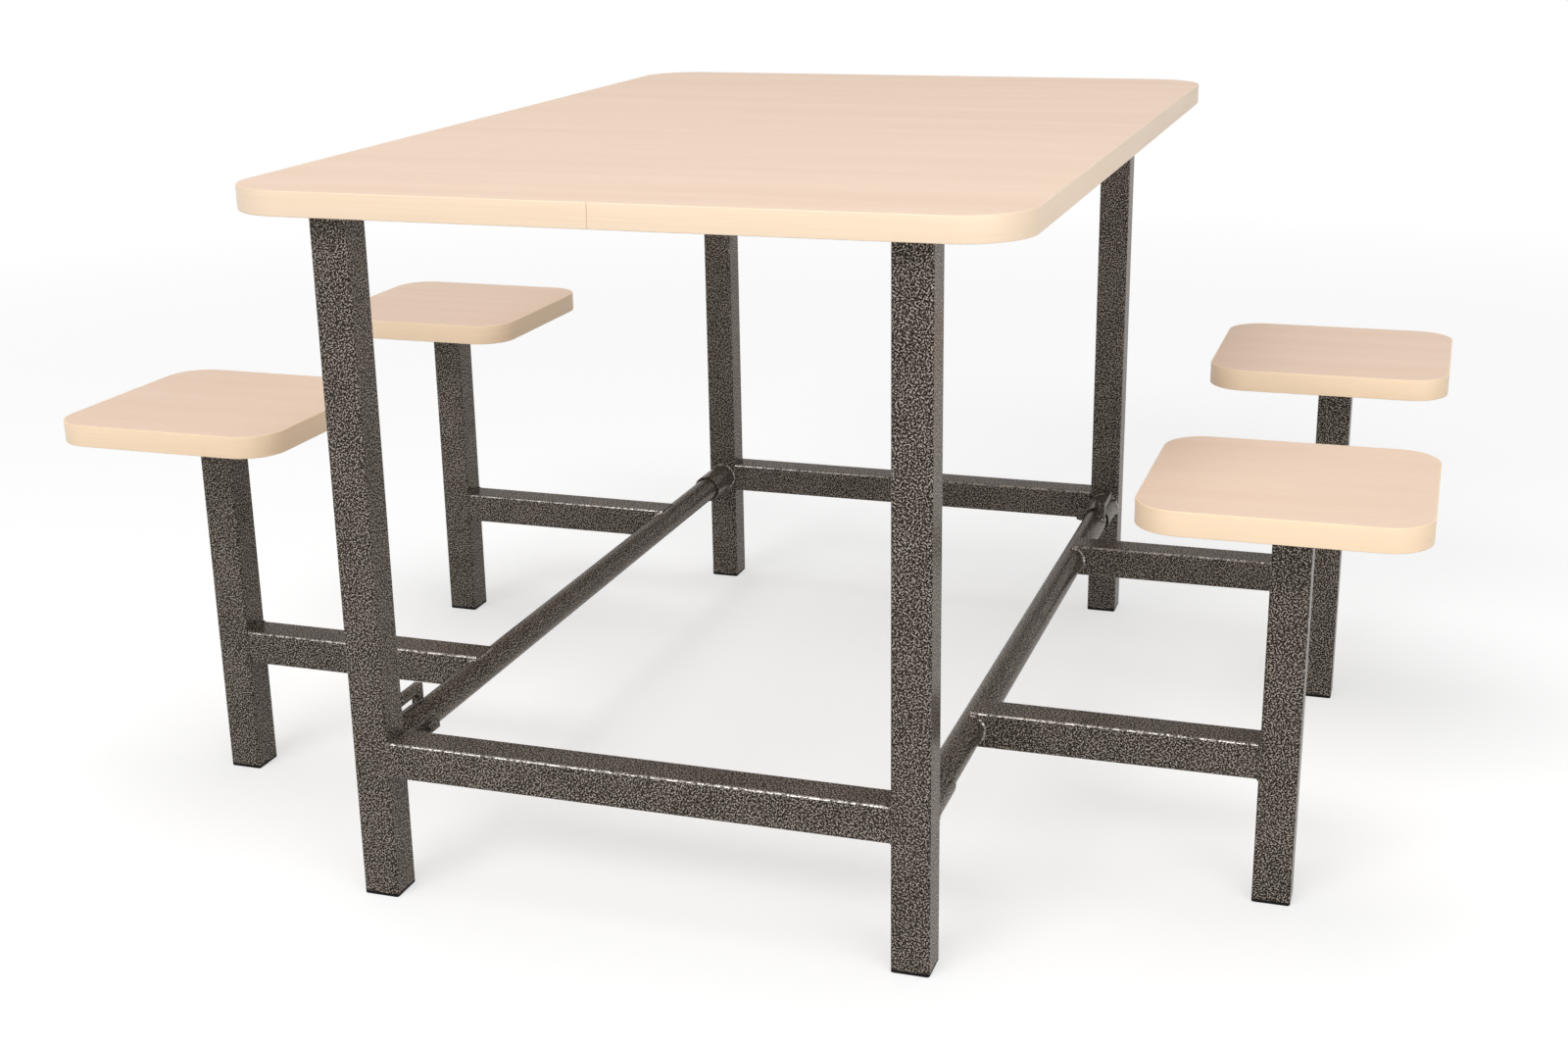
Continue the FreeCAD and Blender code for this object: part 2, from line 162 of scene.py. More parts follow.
# Patterns: how many noise cells lie in a metre, or in a metre along X, Y and Z
VEIN_CELLS = 620
COVERAGE_CELLS = 28
WEAR_CELLS = 250
WELD_FLOW_CELLS = 300
BEECH_STREAK_CELLS = (1.6, 26, 26)
BEECH_LINE_CELLS = (14, 420, 420)
BEECH_FLECK_CELLS = (55, 900, 900)
BEECH_GRAIN_CELLS = 1500
BAND_STREAK_CELLS = (7, 7, 620)
BAND_CLOUD_CELLS = (3, 3, 20)
PLASTIC_GRAIN_CELLS = 1400
PLASTIC_SCUFF_CELLS = 130
ZINC_FILM_CELLS = 300
ZINC_SCRATCH_CELLS = (4000, 500, 900)

# The paint's veins are turned by this many radians, so that no tube's edge lies along their grid
VEIN_TURN = 0.5

# Floor and studio. Near the table the floor is grey with a glow of its own, and further out it is white.
# The floor fades over these metres from its middle, and the walls over these sines of the angle of sight.
FLOOR_SIZE = 80
FLOOR_DROP = 0.2 * MM
FLOOR_GREY = (0.5, 0.5, 0.5)
FLOOR_GLOW = 0.56
FLOOR_FADE = (1.7, 4.2)
FAR_FLOOR_LIGHT = 0.7
WALL_FADE = (0.12, 0.50)
HIGH_WALL_LIGHT = 0.28

# Camera, found from the photograph's edges
PHOTO_WIDTH_PX = 1600
FOCAL_LENGTH_PX = 2098.06
SENSOR_WIDTH = 36
CAMERA_PLACE = Vector((0.7535, -2.3111, 1.0446))
CAMERA_YAW = -0.3227
CAMERA_PITCH = 0.3076
CAMERA_ROLL = -0.0161


# Shader nodes

def new_material(name):
    """Starts a material, and gives it, its node tree and its shader."""
    material = bpy.data.materials.new(name)
    material.use_nodes = True
    tree = material.node_tree
    return material, tree, tree.nodes["Principled BSDF"]


def fill_inputs(tree, node, inputs):
    """Sets or links a node's inputs by name or number."""
    for socket, source in inputs.items():
        if isinstance(source, bpy.types.NodeSocket):
            tree.links.new(source, node.inputs[socket])
        else:
            node.inputs[socket].default_value = source


def add_node(tree, kind, inputs, **settings):
    """Adds a node, with its options set and its inputs filled with values or with other nodes' outputs."""
    node = tree.nodes.new(kind)
    for option, choice in settings.items():
        setattr(node, option, choice)
    fill_inputs(tree, node, inputs)
    return node


def math_of(tree, operation, first, second=0.0):
    """A sum, product or the like of two values, or a function of the first one."""
    return add_node(tree, "ShaderNodeMath", {0: first, 1: second}, operation=operation).outputs["Value"]


def remap(tree, source, seen, given=(0.0, 1.0)):
    """Stretches a range of values to another one, with ends held."""
    inputs = {"Value": source, "From Min": seen[0], "From Max": seen[1],
              "To Min": given[0], "To Max": given[1]}
    return add_node(tree, "ShaderNodeMapRange", inputs).outputs["Result"]


def pick(tree, choice, first, second):
    """The first value where the choice is zero, and the second where it is one."""
    inputs = {"Factor": choice, "A": first, "B": second}
    return add_node(tree, "ShaderNodeMix", inputs).outputs["Result"]


def axes_of(tree, vector):
    """The X, Y and Z of a vector."""
    return add_node(tree, "ShaderNodeSeparateXYZ", {"Vector": vector}).outputs


def place_in_frame(tree, stretch=(1, 1, 1)):
    """The surface point in the piece's own rest frame, scaled along each axis."""
    place = tree.nodes.new("ShaderNodeTexCoord").outputs["Object"]
    return add_node(tree, "ShaderNodeMapping", {"Vector": place, "Scale": stretch}).outputs["Vector"]


def place_on_faces(tree, turn):
    """The surface point laid flat on the main plane that its face lies nearest to, and turned in it."""
    source = tree.nodes.new("ShaderNodeTexCoord").outputs
    place = axes_of(tree, source["Object"])
    way = add_node(tree, "ShaderNodeVectorMath", {0: source["Normal"]}, operation="ABSOLUTE")
    lean = axes_of(tree, way.outputs["Vector"])
    side_face = math_of(tree, "GREATER_THAN", lean["X"], math_of(tree, "MAXIMUM", lean["Y"], lean["Z"]))
    level_face = math_of(tree, "GREATER_THAN", lean["Z"], math_of(tree, "MAXIMUM", lean["X"], lean["Y"]))
    across = pick(tree, side_face, place["X"], place["Y"])
    upward = pick(tree, level_face, place["Z"], place["Y"])
    flat = add_node(tree, "ShaderNodeCombineXYZ", {"X": across, "Y": upward}).outputs["Vector"]
    inputs = {"Vector": flat, "Rotation": (0, 0, turn)}
    return add_node(tree, "ShaderNodeMapping", inputs).outputs["Vector"]


def noise_at(tree, place, scale=1.0, detail=2.0, roughness=0.5, distortion=0.0, dimensions="3D"):
    """Soft noise at a place."""
    inputs = {"Vector": place, "Scale": scale, "Detail": detail, "Roughness": roughness,
              "Distortion": distortion}
    return add_node(tree, "ShaderNodeTexNoise", inputs, noise_dimensions=dimensions).outputs["Fac"]


def colour_steps(tree, factor, steps):
    """A colour that runs through (place, colour) steps."""
    ramp = tree.nodes.new("ShaderNodeValToRGB")
    elements = ramp.color_ramp.elements
    while len(elements) < len(steps):
        elements.new(0.5)
    for element, (place, colour) in zip(elements, steps):
        element.position = place
        element.color = (*colour, 1)
    tree.links.new(factor, ramp.inputs["Fac"])
    return ramp.outputs["Color"]


def mix_colours(tree, factor, first, second):
    """A blend of two colours by a factor that varies over the surface."""
    node = tree.nodes.new("ShaderNodeMix")
    node.data_type = "RGBA"
    colours = [socket for socket in node.inputs if socket.type == "RGBA"]
    tree.links.new(factor, node.inputs["Factor"])
    for socket, source in zip(colours, (first, second)):
        if isinstance(source, bpy.types.NodeSocket):
            tree.links.new(source, socket)
        else:
            socket.default_value = (*source, 1)
    return next(socket for socket in node.outputs if socket.type == "RGBA")


def bump(tree, height, depth, strength):
    """A surface normal that follows a height."""
    inputs = {"Height": height, "Distance": depth, "Strength": strength}
    return add_node(tree, "ShaderNodeBump", inputs).outputs["Normal"]


def emission(tree, strength):
    """A white glow."""
    return add_node(tree, "ShaderNodeEmission", {"Strength": strength}).outputs["Emission"]


def seen_ray(tree):
    """One for a ray that shows the background, straight, in gloss or through glass.
    Zero for a ray that lights."""
    path = tree.nodes.new("ShaderNodeLightPath").outputs
    either = math_of(tree, "MAXIMUM", path["Is Camera Ray"], path["Is Glossy Ray"])
    return math_of(tree, "MAXIMUM", either, path["Is Transmission Ray"])


# Finishes

def hammertone_paint():
    """Bronze hammered paint: pale metallic veins winding round small dark pools, under a gloss."""
    material, tree, shader = new_material("bronze_hammertone")
    flat = place_on_faces(tree, VEIN_TURN)
    veins = noise_at(tree, flat, VEIN_CELLS, detail=0.0, distortion=0.25, dimensions="2D")
    spread = noise_at(tree, place_in_frame(tree), COVERAGE_CELLS, detail=0.0)
    coverage = remap(tree, spread, (0.3, 0.7), (-0.012, 0.012))
    pattern = remap(tree, math_of(tree, "ADD", veins, coverage), (0.34, 0.71))
    steps = [(0.05, POOL_BROWN), (0.35, DARK_BRONZE), (0.65, MIDDLE_BRONZE), (1.0, PALE_BRONZE)]
    inputs = {"Base Color": colour_steps(tree, pattern, steps),
              "Metallic": remap(tree, pattern, (0.1, 0.8), (0.05, 0.35)),
              "Roughness": remap(tree, pattern, (0.2, 0.8), (0.26, 0.32)),
              "Specular IOR Level": 0.05,
              "Specular Tint": (*BRONZE_SHEEN, 1),
              "Coat Weight": 0.08,
              "Coat Roughness": 0.12,
              "Normal": bump(tree, pattern, depth=0.2 * MM, strength=0.4)}
    fill_inputs(tree, shader, inputs)
    return material


def edge_highlight_paint():
    """The hammered paint on a level tube along X, with a painted highlight: its upper edges, where the lamps
    glint, are made pale bright metal.
    """
    material = hammertone_paint()
    material.name = "bronze_hammertone_painted_highlight"
    tree = material.node_tree
    shader = tree.nodes["Principled BSDF"]
    # Painted highlight: the upper rounded edges turn pale and metallic where the lamps glint, and the noise
    # breaks this into dashes
    way = axes_of(tree, tree.nodes.new("ShaderNodeTexCoord").outputs["Normal"])
    edge = math_of(tree, "MINIMUM", way["Z"], math_of(tree, "ABSOLUTE", way["Y"]))
    patches = noise_at(tree, place_in_frame(tree), WEAR_CELLS, detail=4, roughness=0.75)
    highlight_dashes = remap(tree, patches, (0.46, 0.54), (0.05, 1.0))
    painted_highlight = math_of(tree, "MULTIPLY", remap(tree, edge, (0.15, 0.45)), highlight_dashes)
    painted = {name: shader.inputs[name].links[0].from_socket for name in ("Base Color", "Metallic")}
    highlight_metal = math_of(tree, "MULTIPLY", painted_highlight, 0.9)
    inputs = {"Base Color": mix_colours(tree, painted_highlight, painted["Base Color"], PAINTED_HIGHLIGHT_METAL),
              "Metallic": math_of(tree, "MAXIMUM", painted["Metallic"], highlight_metal)}
    fill_inputs(tree, shader, inputs)
    return material


def weld_paint():
    """The same paint where it has run smooth and bright over a weld."""
    material, tree, shader = new_material("bronze_paint_on_welds")
    flow = noise_at(tree, place_in_frame(tree), WELD_FLOW_CELLS)
    pattern = remap(tree, flow, (0.40, 0.64))
    inputs = {"Base Color": mix_colours(tree, pattern, DARK_WELD, BRIGHT_WELD),
              "Metallic": remap(tree, pattern, (0.2, 0.8), (0.3, 0.9)),
              "Roughness": remap(tree, pattern, (0.2, 0.8), (0.30, 0.20)),
              "Specular IOR Level": 0.35,
              "Normal": bump(tree, flow, depth=0.2 * MM, strength=0.4)}
    fill_inputs(tree, shader, inputs)
    return material


def laminate():
    """Pale beech print on board: broad soft streaks along X, fine lines, short flecks and a satin face."""
    material, tree, shader = new_material("pale_beech_laminate")
    streaks = noise_at(tree, place_in_frame(tree, BEECH_STREAK_CELLS), detail=4, roughness=0.55)
    lines = noise_at(tree, place_in_frame(tree, BEECH_LINE_CELLS), detail=3, roughness=0.6)
    flecks = noise_at(tree, place_in_frame(tree, BEECH_FLECK_CELLS), detail=1)
    grain = noise_at(tree, place_in_frame(tree), BEECH_GRAIN_CELLS, detail=1)
    base = mix_colours(tree, remap(tree, streaks, (0.35, 0.68)), PALE_BEECH, WARM_BEECH)
    base = mix_colours(tree, remap(tree, lines, (0.52, 0.80), (0.0, 0.30)), base, WARM_BEECH)
    base = mix_colours(tree, remap(tree, flecks, (0.62, 0.72), (0.0, 0.34)), base, BEECH_FLECK)
    inputs = {"Base Color": base,
              "Roughness": remap(tree, grain, (0.3, 0.7), (0.48, 0.58)),
              "Specular IOR Level": 0.40,
              "Normal": bump(tree, grain, depth=0.03 * MM, strength=0.35)}
    fill_inputs(tree, shader, inputs)
    return material


def edge_band(name, cream, honey):
    """Plastic edging in two shades, with faint streaks along its length."""
    material, tree, shader = new_material(name)
    streaks = noise_at(tree, place_in_frame(tree, BAND_STREAK_CELLS), detail=3, roughness=0.6)
    clouds = noise_at(tree, place_in_frame(tree, BAND_CLOUD_CELLS))
    base = mix_colours(tree, remap(tree, streaks, (0.40, 0.72), (0.0, 0.55)), cream, honey)
    base = mix_colours(tree, remap(tree, clouds, (0.45, 0.75), (0.0, 0.30)), base, honey)
    inputs = {"Base Color": base,
              "Roughness": remap(tree, streaks, (0.3, 0.7), (0.36, 0.46)),
              "Specular IOR Level": 0.40,
              "Normal": bump(tree, streaks, depth=0.03 * MM, strength=0.4)}
    fill_inputs(tree, shader, inputs)
    return material


def foot_plastic():
    """Black moulded plastic with a fine grain and dusty scuffs."""
    material, tree, shader = new_material("black_moulded_plastic")
    place = place_in_frame(tree)
    grain = noise_at(tree, place, PLASTIC_GRAIN_CELLS)
    scuffs = noise_at(tree, place, PLASTIC_SCUFF_CELLS, detail=4, roughness=0.65)
    dust = remap(tree, scuffs, (0.55, 0.80), (0.0, 0.5))
    inputs = {"Base Color": mix_colours(tree, dust, BLACK_PLASTIC, PLASTIC_DUST),
              "Roughness": remap(tree, scuffs, (0.3, 0.8), (0.42, 0.66)),
              "Specular IOR Level": 0.12,
              "Normal": bump(tree, grain, depth=0.05 * MM, strength=0.5)}
    fill_inputs(tree, shader, inputs)
    return material


def screw_steel():
    """Bright zinc with a cloudy passivation film and fine scratches."""
    material, tree, shader = new_material("zinc_plated_steel")
    film = noise_at(tree, place_in_frame(tree), ZINC_FILM_CELLS, detail=3)
    scratches = noise_at(tree, place_in_frame(tree, ZINC_SCRATCH_CELLS))
    inputs = {"Base Color": mix_colours(tree, remap(tree, film, (0.35, 0.7)), BRIGHT_ZINC, YELLOW_ZINC),
              "Metallic": 1.0,
              "Roughness": remap(tree, scratches, (0.3, 0.7), (0.24, 0.42)),
              "Normal": bump(tree, scratches, depth=0.02 * MM, strength=0.3)}
    fill_inputs(tree, shader, inputs)
    return material


TOP_BAND_FINISH = edge_band("cream_edge_band", TOP_BAND_CREAM, TOP_BAND_HONEY)
SEAT_BAND_FINISH = edge_band("warm_edge_band", SEAT_BAND_CREAM, SEAT_BAND_HONEY)
PAINT_FINISH = hammertone_paint()
WELD_FINISH = weld_paint()
EDGE_HIGHLIGHT_FINISH = edge_highlight_paint()
FINISHES = {"hammertone_paint": PAINT_FINISH, "laminate": laminate(), "edge_band": TOP_BAND_FINISH,
            "foot_plastic": foot_plastic(), "screw_steel": screw_steel()}


def dress_cad_nodes():
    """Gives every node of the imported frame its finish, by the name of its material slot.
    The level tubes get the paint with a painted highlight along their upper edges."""
    for name, node in frame["nodes"].items():
        painted_highlight = name.endswith(("_cross_rail", "_seat_arm"))
        for slot in node.material_slots:
            slot.material = EDGE_HIGHLIGHT_FINISH if painted_highlight else FINISHES[slot.material.name]


# Meshes

def skin(rings, joined=False):
    """A closed mesh through rings of points. joined makes the last ring meet the first one."""
    shell = bmesh.new()
    rows = [[shell.verts.new(point) for point in ring] for ring in rings]
    following = rows[1:] + rows[:1] if joined else rows[1:]
    for lower, upper in zip(rows, following):
        for index in range(len(lower)):
            corners = (lower[index - 1], lower[index], upper[index], upper[index - 1])
            shell.faces.new(corners)
    if not joined:
        shell.faces.new(rows[0])
        shell.faces.new(rows[-1])
    return shell


def round_edges(shell, radius, steps):
    """Rounds every edge of a mesh."""
    bmesh.ops.recalc_face_normals(shell, faces=shell.faces)
    bmesh.ops.bevel(shell, geom=shell.edges, offset=radius, segments=steps, affect="EDGES",
                    profile=CIRCULAR_PROFILE)


def add_piece(name, shell, body, slot, replaced=(), sharp_angle=SHARP_ANGLE, finish=None):
    """Puts a mesh in the scene as a piece of a body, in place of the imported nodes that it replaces.
    It has its slot's finish, or one of its own."""
    bmesh.ops.recalc_face_normals(shell, faces=shell.faces)
    mesh = bpy.data.meshes.new(name)
    shell.to_mesh(mesh)
    shell.free()
    mesh.shade_smooth()
    mesh.set_sharp_from_angle(angle=sharp_angle)
    mesh.materials.append(finish or FINISHES[slot])
    piece = bpy.data.objects.new(name, mesh)
    bpy.context.scene.collection.objects.link(piece)
    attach(piece, body)
    if replaced:
        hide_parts(*replaced)


def rounded_outline(width, depth, radius, steps):
    """Walks round a rectangle with round corners from its lower side, as (x, y, outward x, outward y)."""
    spots = []
    for quarter, (sign_x, sign_y) in enumerate([(1, -1), (1, 1), (-1, 1), (-1, -1)]):
        for step in range(steps + 1):
            angle = (quarter - 1 + step / steps) * math.pi / 2
            out_x, out_y = math.cos(angle), math.sin(angle)
            x = sign_x * (width / 2 - radius) + radius * out_x
            y = sign_y * (depth / 2 - radius) + radius * out_y
            spots.append((x, y, out_x, out_y))
    return spots


def full_circle(steps):
    """Evenly spaced angles all the way round."""
    return [2 * math.pi * step / steps for step in range(steps)]


def middle_of(node):
    """The middle and the size of a node's box."""
    low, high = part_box(node)
    return (low + high) / 2, high - low


def box_of(points):
    """The lowest and the highest corner of the box round some points."""
    low = Vector([min(point[axis] for point in points) for axis in range(3)])
    high = Vector([max(point[axis] for point in points) for axis in range(3)])
    return low, high


# Boards

def board(name, body, node, radius):
    """A laminated board with its arrises just broken, grown by the glue gap to meet its edge band."""
    middle, size = middle_of(node)
    outline = rounded_outline(size.x + 2 * GLUE_GAP, size.y + 2 * GLUE_GAP, radius, CORNER_STEPS)
    half = size.z / 2
    levels = [(-half, BOARD_ARRIS), (BOARD_ARRIS - half, 0), (half - BOARD_ARRIS, 0), (half, BOARD_ARRIS)]
    rings = [[middle + Vector((x - out_x * inset, y - out_y * inset, level))
              for x, y, out_x, out_y in outline] for level, inset in levels]
    add_piece(name, skin(rings), body, "laminate", [node], BOARD_SHARP_ANGLE)


def band_section(height):
    """An edge band's section, as (distance out of the board, height), with its outer edges rounded."""
    section = [(0, 0)]
    for centre, start in ((BAND_ROUNDING, -90), (height - BAND_ROUNDING, 0)):
        for step in range(BAND_ROUNDING_STEPS + 1):
            angle = math.radians(start + 90 * step / BAND_ROUNDING_STEPS)
            out = BAND_THICKNESS - BAND_ROUNDING + BAND_ROUNDING * math.cos(angle)
            section.append((out, centre + BAND_ROUNDING * math.sin(angle)))
    section.append((0, height))
    return section


def edging(name, body, node, radius, finish, seam_x=0.0, turned=False):
    """A strip round a board's edge. Its ends meet at a fine seam in the front, or in the rear if turned."""
    middle, size = middle_of(node)
    inner_x, inner_y = size.x - 2 * BAND_THICKNESS, size.y - 2 * BAND_THICKNESS
    corners = rounded_outline(inner_x, inner_y, radius - BAND_THICKNESS, CORNER_STEPS)
    ends = [(seam_x + sign * SEAM_GAP / 2, -inner_y / 2, 0, -1) for sign in (1, -1)]
    turn = -1 if turned else 1
    low = middle - UP * size.z / 2
    rings = [[low + Vector((turn * (x + out_x * out), turn * (y + out_y * out), up))
              for out, up in band_section(size.z)]
             for x, y, out_x, out_y in [ends[0], *corners, ends[1]]]
    add_piece(name, skin(rings), body, "edge_band", [node], BAND_SHARP_ANGLE, finish)


def boards():
    """The table top and the four seats."""
    board("table_top_laminate", "table", "table_top_board", TOP_CORNER_RADIUS - BAND_THICKNESS)
    edging("table_top_edging", "table", "table_top_edge_band", TOP_CORNER_RADIUS, TOP_BAND_FINISH,
           seam_x=TOP_SEAM_X)
    for side in SIDES:
        body = f"{side}_seats"
        for end in ENDS:
            seat = f"{end}_{side}_seat"
            board(f"{seat}_laminate", body, f"{seat}_board", SEAT_CORNER_RADIUS - BAND_THICKNESS)
            edging(f"{seat}_edging", body, f"{seat}_edge_band", SEAT_CORNER_RADIUS, SEAT_BAND_FINISH,
                   turned=True)


# Weld beads. A path is a list of (point, facing): the joint line, and the way that the bead faces.

def spaced(path):
    """Spaces a closed path's stations evenly, and gives them and the path's length."""
    stretches = list(zip(path, path[1:] + path[:1]))
    lengths = [(after[0] - before[0]).length for before, after in stretches]
    total = sum(lengths)
    count = round(total / WELD_STEP)
    stations, walked, index = [], 0.0, 0
    for step in range(count):
        target = total * step / count
        while walked + lengths[index] <= target:
            walked += lengths[index]
            index += 1
        share = (target - walked) / lengths[index]
        (point, facing), (next_point, next_facing) = stretches[index]
        stations.append((point.lerp(next_point, share), facing.lerp(next_facing, share).normalized()))
    return stations, total


def weld_bead(name, body, path, radius=WELD_RADIUS, finish=WELD_FINISH):
    """A rippled bead of weld along a closed joint line, painted over."""
    stations, total = spaced(path)
    ripples = round(total / WELD_RIPPLE)
    rings = []
    for index, (point, facing) in enumerate(stations):
        ahead = stations[(index + 1) % len(stations)][0] - stations[index - 1][0]
        across = ahead.cross(facing).normalized()
        wave = abs(math.sin(math.pi * ripples * index / len(stations)))
        wander = noise.noise(point * WELD_WANDER_SCALE)
        size = radius * (1 - WELD_RIPPLE_DEPTH * (1 - wave) + WELD_WANDER * wander)
        centre = point - facing * WELD_SINK
        rings.append([centre + size * (facing * math.cos(turn) + across * math.sin(turn))
                      for turn in full_circle(WELD_SECTION_STEPS)])
    bead = skin(rings, joined=True)
    add_piece(name, bead, body, "hammertone_paint", sharp_angle=NEVER_SHARP, finish=finish)


def moved(path, offset):
    """A path shifted as a whole."""
    return [(point + offset, facing) for point, facing in path]


def square_tube_path(middle, side, axis, away):
    """The joint line round a square tube's end. away points along the tube, from the joint."""
    first, second = {"X": (Vector((0, 1, 0)), Vector((0, 0, 1))),
                     "Z": (Vector((1, 0, 0)), Vector((0, 1, 0)))}[axis]
    outline = rounded_outline(side, side, TUBE_CORNER_RADIUS, TUBE_CORNER_STEPS)
    return [(middle + first * x + second * y, (first * out_x + second * out_y + away).normalized())
            for x, y, out_x, out_y in outline]


def ring_path(middle, radius, away):
    """The joint line round a round tube that runs along Y."""
    path = []
    for turn in full_circle(SLEEVE_STEPS):
        out = Vector((math.cos(turn), 0, math.sin(turn)))
        path.append((middle + radius * out, (out + away).normalized()))
    return path


def saddle_path(middle, bar_radius, half_tube, outward):
    """The joint line where a square arm is notched over a round bar. outward points along the arm."""
    path = []
    for face, start in ((-1, 0), (1, 180)):
        beside = Vector((0, face, 0))
        for step in range(SADDLE_STEPS + 1):
            turn = math.radians(start + 180 * step / SADDLE_STEPS)
            out = abs(math.sin(turn)) * outward + math.cos(turn) * UP
            spot = middle + bar_radius * out + half_tube * beside
            path.append((spot, (out + beside - SADDLE_LEAN * outward).normalized()))
    return path


def foot_path(middle, width, length, bar_radius, least_height, tilt=0.0):
    """The joint line round a small square foot that stands on a round bar along Y, tilted round the bar.
    middle is on the bar's own line, moved sideways to the foot."""
    path = []
    for x, y, out_x, out_y in rounded_outline(width, length, width * FOOT_CORNER_SHARE, FOOT_CORNER_STEPS):
        across = middle.x + x
        up = max(math.sqrt(max(bar_radius ** 2 - across ** 2, 0.0)), least_height)
        facing = Vector((out_x, out_y, 0)) + Vector((across, 0, up)).normalized()
        path.append((Vector((across, middle.y + y, up)), facing.normalized()))
    roll = Matrix.Rotation(tilt, 3, "Y")
    return [(roll @ point, roll @ facing) for point, facing in path]


def plate_weld(name, body, tube):
    """The bead where an upright tube meets the plate on its top."""
    middle, size = middle_of(tube)
    weld_bead(name, body, square_tube_path(middle + UP * size.z / 2, size.x, "Z", -UP))


def frame_welds():
    """Beads where the rails and sleeves meet the legs, and the legs meet their plates."""
    for end, end_sign in ENDS.items():
        rail, rail_size = middle_of(f"{end}_cross_rail")
        inward_y = Vector((0, -end_sign, 0))
        for side, side_sign in SIDES.items():
            corner = f"{end}_{side}"
            inward_x = Vector((-side_sign, 0, 0))
            path = square_tube_path(rail - inward_x * rail_size.x / 2, rail_size.z, "X", inward_x)
            weld_bead(f"{corner}_rail_weld", "table", path, SLIM_WELD_RADIUS, PAINT_FINISH)
            plate_weld(f"{corner}_leg_plate_weld", "table", f"{corner}_leg")
            sleeve, sleeve_size = middle_of(f"{corner}_pivot_sleeve")
            path = ring_path(sleeve - inward_y * sleeve_size.y / 2, sleeve_size.x / 2, inward_y)
            weld_bead(f"{corner}_sleeve_weld", "table", path)


def seat_welds():
    """Beads where the arms meet the bars and posts, and the posts meet their plates."""
    for side, side_sign in SIDES.items():
        body = f"{side}_seats"
        outward = Vector((side_sign, 0, 0))
        bar, bar_size = middle_of(f"{side}_pivot_bar")
        for end in ENDS:
            corner = f"{end}_{side}"
            arm, arm_size = middle_of(f"{corner}_seat_arm")
            path = square_tube_path(arm + outward * arm_size.x / 2, arm_size.z, "X", -outward)
            weld_bead(f"{corner}_arm_post_weld", body, path, finish=PAINT_FINISH)
            path = saddle_path(Vector((bar.x, arm.y, bar.z)), bar_size.x / 2, arm_size.y / 2, outward)
            weld_bead(f"{corner}_arm_bar_weld", body, path, FAT_WELD_RADIUS)
            plate_weld(f"{corner}_seat_plate_weld", body, f"{corner}_seat_post")


# Sleeves

def pivot_sleeve(end, side):
    """A round sleeve with its rims broken and its bore chamfered."""
    node = f"{end}_{side}_pivot_sleeve"
    middle, size = middle_of(node)
    _, bar_size = middle_of(f"{side}_pivot_bar")
    outer, inner, half = size.x / 2, bar_size.x / 2 + BAR_CLEARANCE, size.y / 2
    edge, bevel = SLEEVE_RIM_ROUNDING, SLEEVE_BORE_CHAMFER
    profile = [(inner, bevel - half), (inner + bevel, -half), (outer - edge, -half), (outer, edge - half),
               (outer, half - edge), (outer - edge, half), (inner + bevel, half), (inner, half - bevel)]
    rings = [[middle + Vector((out * math.cos(turn), along, out * math.sin(turn))) for out, along in profile]
             for turn in full_circle(SLEEVE_STEPS)]
    add_piece(f"{node}_tube", skin(rings, joined=True), "table", "hammertone_paint", [node])


# Foot caps

def foot_cap(node, body):
    """A plastic cap with a rounded foot, a fine lip under the tube and a ribbed stem."""
    middle, size = middle_of(node)
    bottom, top = middle.z - size.z / 2, middle.z + size.z / 2
    levels = []
    for step in range(CAP_ROUNDING_STEPS + 1):
        angle = math.pi / 2 * step / CAP_ROUNDING_STEPS
        levels.append((bottom + CAP_ROUNDING * (1 - math.cos(angle)), CAP_ROUNDING * (1 - math.sin(angle))))
    levels += [(bottom + CAP_FLANGE - CAP_LIP, 0), (bottom + CAP_FLANGE, CAP_LIP)]
    rib_level = bottom + CAP_FLANGE
    while rib_level + CAP_RIB_PITCH < top:
        levels += [(rib_level + CAP_LIP, CAP_STEM_INSET),
                   (rib_level + CAP_RIB_PITCH / 2, CAP_STEM_INSET + CAP_RIB_DEPTH)]
        rib_level += CAP_RIB_PITCH
    levels.append((top, CAP_STEM_INSET))
    outline = rounded_outline(size.x, size.y, TUBE_CORNER_RADIUS, TUBE_CORNER_STEPS)
    rings = [[Vector((middle.x + x - out_x * inset, middle.y + y - out_y * inset, level))
              for x, y, out_x, out_y in outline] for level, inset in levels]
    add_piece(f"{node}_moulding", skin(rings), body, "foot_plastic", [node])


# Screws

def head_drop(out, turn):
    """How far a screw's head stands below its plate at a place on it.
    Its cross recess is half as deep at the ends of the cross."""
    x, y = abs(out * math.cos(turn)), abs(out * math.sin(turn))
    dome = HEAD_RIM + (HEAD_HEIGHT - HEAD_RIM) * math.sqrt(max(1 - (out / HEAD_RADIUS) ** 2, 0.0))
    in_cross = min(x, y) < CROSS_WIDTH / 2 and max(x, y) < CROSS_REACH
    return dome - CROSS_DEPTH * (1 - max(x, y) / CROSS_REACH / 2) if in_cross else dome


def screw_rings(spot):
    """The rings of one screw, from the middle of its head up to its point."""
    turns = [turn + math.pi / HEAD_STEPS for turn in full_circle(HEAD_STEPS)]

    def ring(out, height):
        return [spot + Vector((out * math.cos(turn), out * math.sin(turn), height)) for turn in turns]

    rings = []
    for index in range(1, HEAD_RINGS + 1):
        out = HEAD_RADIUS * index / HEAD_RINGS
        rings.append([spot + Vector((out * math.cos(turn), out * math.sin(turn), -head_drop(out, turn)))
                      for turn in turns])
    rings += [ring(HEAD_RADIUS, 0), ring(SHANK_RADIUS, 0), ring(SHANK_RADIUS, SHANK_LENGTH - SHANK_POINT),
              ring(SHANK_TIP_RADIUS, SHANK_LENGTH)]
    return rings


